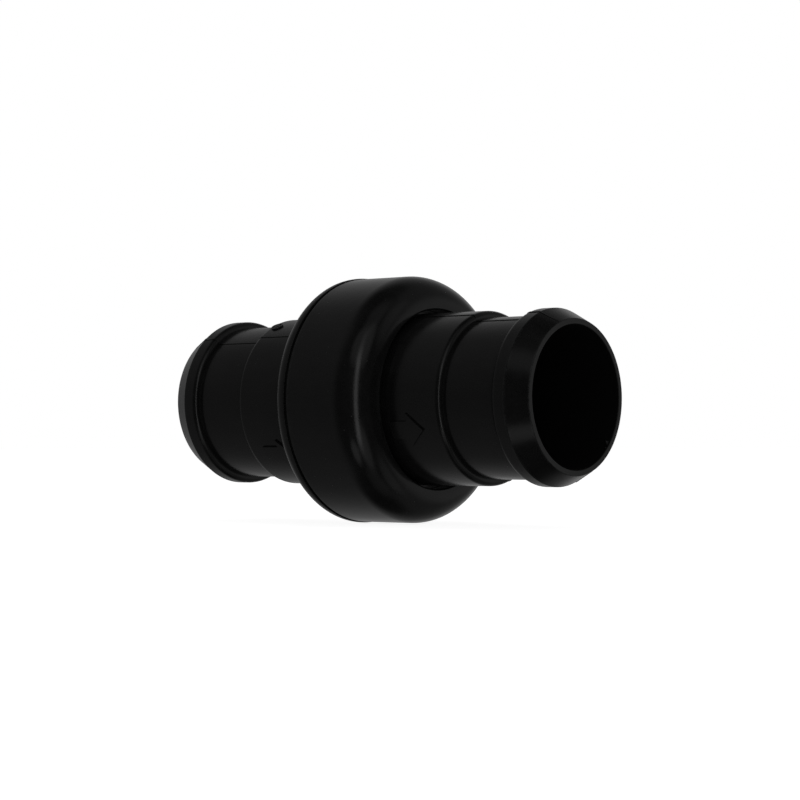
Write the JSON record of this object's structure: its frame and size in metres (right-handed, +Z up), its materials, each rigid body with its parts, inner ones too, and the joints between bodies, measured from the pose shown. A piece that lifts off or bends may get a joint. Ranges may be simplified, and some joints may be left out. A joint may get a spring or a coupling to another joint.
{
  "type": "check valve",
  "caption": "In-line check valve for hose: a sprung poppet lets water through one way, and the outlet tail turns freely on a ball race.",
  "frame": {"origin": "on the flow axis, midway between the end faces of the two hose tails", "axes": "+X along the flow, out of the swivelling outlet tail; +Z up with the fitting lying level; -Y towards the side with the raised flow arrows"},
  "size_m": [0.0622, 0.0334, 0.0334],
  "materials": {
    "black_nylon": "satin moulded black",
    "grey_acetal": "moulded off-white",
    "black_rubber": "soft black",
    "stainless": "bright stainless",
    "red_rubber": "soft dark red"
  },
  "bodies": {
    "housing": {"housing_cup": "black_nylon", "inlet_tail": "black_nylon", "body_seal": "black_rubber", "race_ring": "grey_acetal", "seal_carrier": "grey_acetal", "swivel_seal": "black_rubber", "carrier_seal": "black_rubber", "thrust_washer": "grey_acetal", "seat_ring": "grey_acetal", "seat_ring_seal": "black_rubber", "guide_cage": "black_nylon", "guide_bush": "grey_acetal", "return_spring": "stainless"},
    "outlet": {"outlet_tail": "black_nylon"},
    "balls": {"race_balls": "stainless"},
    "poppet": {"poppet": "black_nylon", "poppet_seal": "red_rubber", "seal_retainer": "stainless", "retainer_screw": "stainless", "stem_clip": "stainless"}
  },
  "joints": [
    {"name": "outlet_swivel", "type": "hinge", "parent": "housing", "child": "outlet", "pos_m": [0.0042, 0, 0], "axis": [1, 0, 0], "continuous": true},
    {"name": "ball_orbit", "type": "hinge", "parent": "housing", "child": "balls", "pos_m": [0.0042, 0, 0], "axis": [1, 0, 0], "continuous": true},
    {"name": "poppet_lift", "type": "slide", "parent": "housing", "child": "poppet", "axis": [1, 0, 0], "range_m": [0, 0.00325], "stiffness_N_per_m": 380, "springref_m": -0.001, "deforming": ["return_spring"]}
  ],
  "couplings": [
    {"joint": "ball_orbit", "follows": "outlet_swivel", "ratio": 0.4408}
  ]
}
